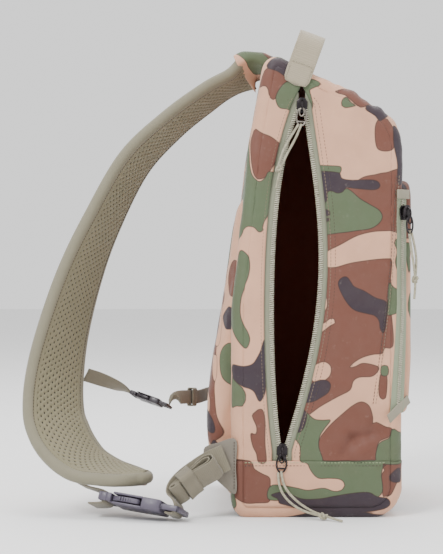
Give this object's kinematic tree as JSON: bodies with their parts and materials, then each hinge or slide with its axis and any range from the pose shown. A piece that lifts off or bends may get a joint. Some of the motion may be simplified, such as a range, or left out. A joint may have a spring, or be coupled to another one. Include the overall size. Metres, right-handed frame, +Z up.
{
  "type": "sling bag",
  "caption": "Upright one-strap sling bag with long side zip, front zip pocket, padded mesh strap on two side-release buckles, webbing haul handle and padded back.",
  "frame": {"origin": "floor contact under the middle of the bag's bottom", "axes": "+Z up; +X from the back pad to the front pocket; the long zip is on the -Y side"},
  "size_m": [0.3758, 0.2714, 0.4599],
  "materials": {
    "camo_fabric": "coated woodland print",
    "lining": "plain dark lining",
    "mesh": "spacer mesh",
    "foam": "hidden padding",
    "binding": "woven edge tape",
    "webbing": "woven webbing",
    "handle_webbing": "woven webbing",
    "cord": "braided cord",
    "zip_tape": "woven zip tape",
    "zip_coil": "nylon coil",
    "zip_metal": "dark painted",
    "buckle": "moulded",
    "small_buckle": "moulded"
  },
  "bodies": {
    "bag": {"bottom_boot": "camo_fabric", "back_panel": "camo_fabric", "top_panel": "camo_fabric", "front_panel": "camo_fabric", "rear_side_panel": "camo_fabric", "front_side_panel": "camo_fabric", "pocket_gusset": "camo_fabric", "far_side_panel": "camo_fabric", "lining": "lining", "back_pad_cover": "mesh", "back_pad_foam": "foam", "pocket_panel": "camo_fabric", "pocket_zip_tape": "zip_tape", "pocket_zip_coil": "zip_coil", "pocket_zip_tabs": "webbing", "handle_anchors": "handle_webbing", "strap_yoke": "camo_fabric", "main_buckle_female": "buckle", "side_wing": "webbing", "lower_webbing": "webbing", "webbing_tail": "webbing", "small_buckle_female": "small_buckle", "anchor_webbing": "webbing", "webbing_anchor": "webbing"},
    "shoulder_strap": {"strap_cover": "camo_fabric", "strap_foam": "foam", "strap_mesh": "mesh", "strap_binding": "binding", "main_buckle_male": "buckle", "small_buckle_male": "small_buckle", "strap_tab": "webbing", "stabiliser_webbing": "webbing"},
    "main_buckle_near_arm": {"main_buckle_near_arm": "buckle"},
    "main_buckle_far_arm": {"main_buckle_far_arm": "buckle"},
    "small_buckle_near_arm": {"small_buckle_near_arm": "small_buckle"},
    "small_buckle_far_arm": {"small_buckle_far_arm": "small_buckle"},
    "haul_handle": {"haul_handle": "handle_webbing"},
    "upper_slider": {"upper_slider": "zip_metal"},
    "upper_pull": {"upper_pull_tab": "zip_metal", "upper_pull_cord": "cord", "upper_pull_knot": "cord"},
    "lower_slider": {"lower_slider": "zip_metal"},
    "lower_pull": {"lower_pull_tab": "zip_metal", "lower_pull_cord": "cord", "lower_pull_knot": "cord"},
    "pocket_slider": {"pocket_slider": "zip_metal"},
    "pocket_pull": {"pocket_pull_tab": "zip_metal", "pocket_pull_cord": "cord", "pocket_pull_knot": "cord"},
    "rear_chain": {"rear_zip_chain": "zip_coil", "rear_zip_tape": "zip_tape"},
    "front_chain": {"front_zip_chain": "zip_coil", "front_zip_tape": "zip_tape"},
    "webbing_keeper": {"webbing_keeper": "webbing"},
    "small_keeper": {"small_keeper": "webbing"}
  },
  "joints": [
    {"name": "shoulder_strap_swing", "type": "hinge", "parent": "bag", "child": "shoulder_strap", "pos_m": [-0.0555, 0, 0.434], "axis": [0.2975, 0.8943, -0.3342], "range_deg": [0, 40]},
    {"name": "haul_handle_fold", "type": "hinge", "parent": "bag", "child": "haul_handle", "pos_m": [-0.0046, 0, 0.424], "axis": [0, 1, 0], "range_deg": [-40, 45], "stiffness_Nm_per_rad": 0.05},
    {"name": "upper_zip_travel", "type": "slide", "parent": "bag", "child": "upper_slider", "axis": [-0.0574, 0, -0.9984], "range_m": [0, 0.262]},
    {"name": "lower_zip_travel", "type": "slide", "parent": "bag", "child": "lower_slider", "axis": [0.0574, 0, 0.9984], "range_m": [0, 0.015]},
    {"name": "rear_chain_close", "type": "slide", "parent": "bag", "child": "rear_chain", "axis": [1, 0, 0], "range_m": [0, 0.0162], "deforming": ["rear_zip_chain", "rear_zip_tape"]},
    {"name": "front_chain_close", "type": "slide", "parent": "bag", "child": "front_chain", "axis": [-1, 0, 0], "range_m": [0, 0.0241], "deforming": ["front_zip_chain", "front_zip_tape"]},
    {"name": "upper_pull_swing", "type": "hinge", "parent": "upper_slider", "child": "upper_pull", "pos_m": [-0.00568, -0.1172, 0.38081], "axis": [-0.9984, 0, 0.0574], "range_deg": [0, 100]},
    {"name": "lower_pull_swing", "type": "hinge", "parent": "lower_slider", "child": "lower_pull", "pos_m": [-0.02418, -0.1172, 0.05881], "axis": [-0.9984, 0, 0.0574], "range_deg": [0, 100]},
    {"name": "pocket_zip_travel", "type": "slide", "parent": "bag", "child": "pocket_slider", "axis": [0, 0, -1], "range_m": [0, 0.165]},
    {"name": "pocket_pull_swing", "type": "hinge", "parent": "pocket_slider", "child": "pocket_pull", "pos_m": [0.09432, -0.11632, 0.2808], "axis": [-0.7071, -0.7071, 0], "range_deg": [0, 90]},
    {"name": "webbing_keeper_slide", "type": "slide", "parent": "bag", "child": "webbing_keeper", "axis": [0.7551, 0.2197, 0.6178], "range_m": [0, 0.003]},
    {"name": "small_keeper_slide", "type": "slide", "parent": "bag", "child": "small_keeper", "axis": [0.3581, 0.9309, -0.0716], "range_m": [-0.008, 0.008]},
    {"name": "main_buckle_near_release", "type": "hinge", "parent": "shoulder_strap", "child": "main_buckle_near_arm", "pos_m": [-0.17997, -0.12541, 0.01991], "axis": [0.2152, 0.2782, 0.9361], "range_deg": [0, 6], "stiffness_Nm_per_rad": 0.04},
    {"name": "main_buckle_far_release", "type": "hinge", "parent": "shoulder_strap", "child": "main_buckle_far_arm", "pos_m": [-0.17354, -0.10609, 0.01269], "axis": [-0.2152, -0.2782, -0.9361], "range_deg": [0, 6], "stiffness_Nm_per_rad": 0.04},
    {"name": "small_buckle_near_release", "type": "hinge", "parent": "shoulder_strap", "child": "small_buckle_near_arm", "pos_m": [-0.16609, 0.01037, 0.10513], "axis": [0.3682, 0.2155, 0.9044], "range_deg": [0, 6], "stiffness_Nm_per_rad": 0.01},
    {"name": "small_buckle_far_release", "type": "hinge", "parent": "shoulder_strap", "child": "small_buckle_far_arm", "pos_m": [-0.16262, 0.02081, 0.10123], "axis": [-0.3682, -0.2155, -0.9044], "range_deg": [0, 6], "stiffness_Nm_per_rad": 0.01}
  ],
  "couplings": [
    {"joint": "rear_chain_close", "follows": "upper_zip_travel", "ratio": 0.061069},
    {"joint": "front_chain_close", "follows": "upper_zip_travel", "ratio": 0.091221}
  ]
}
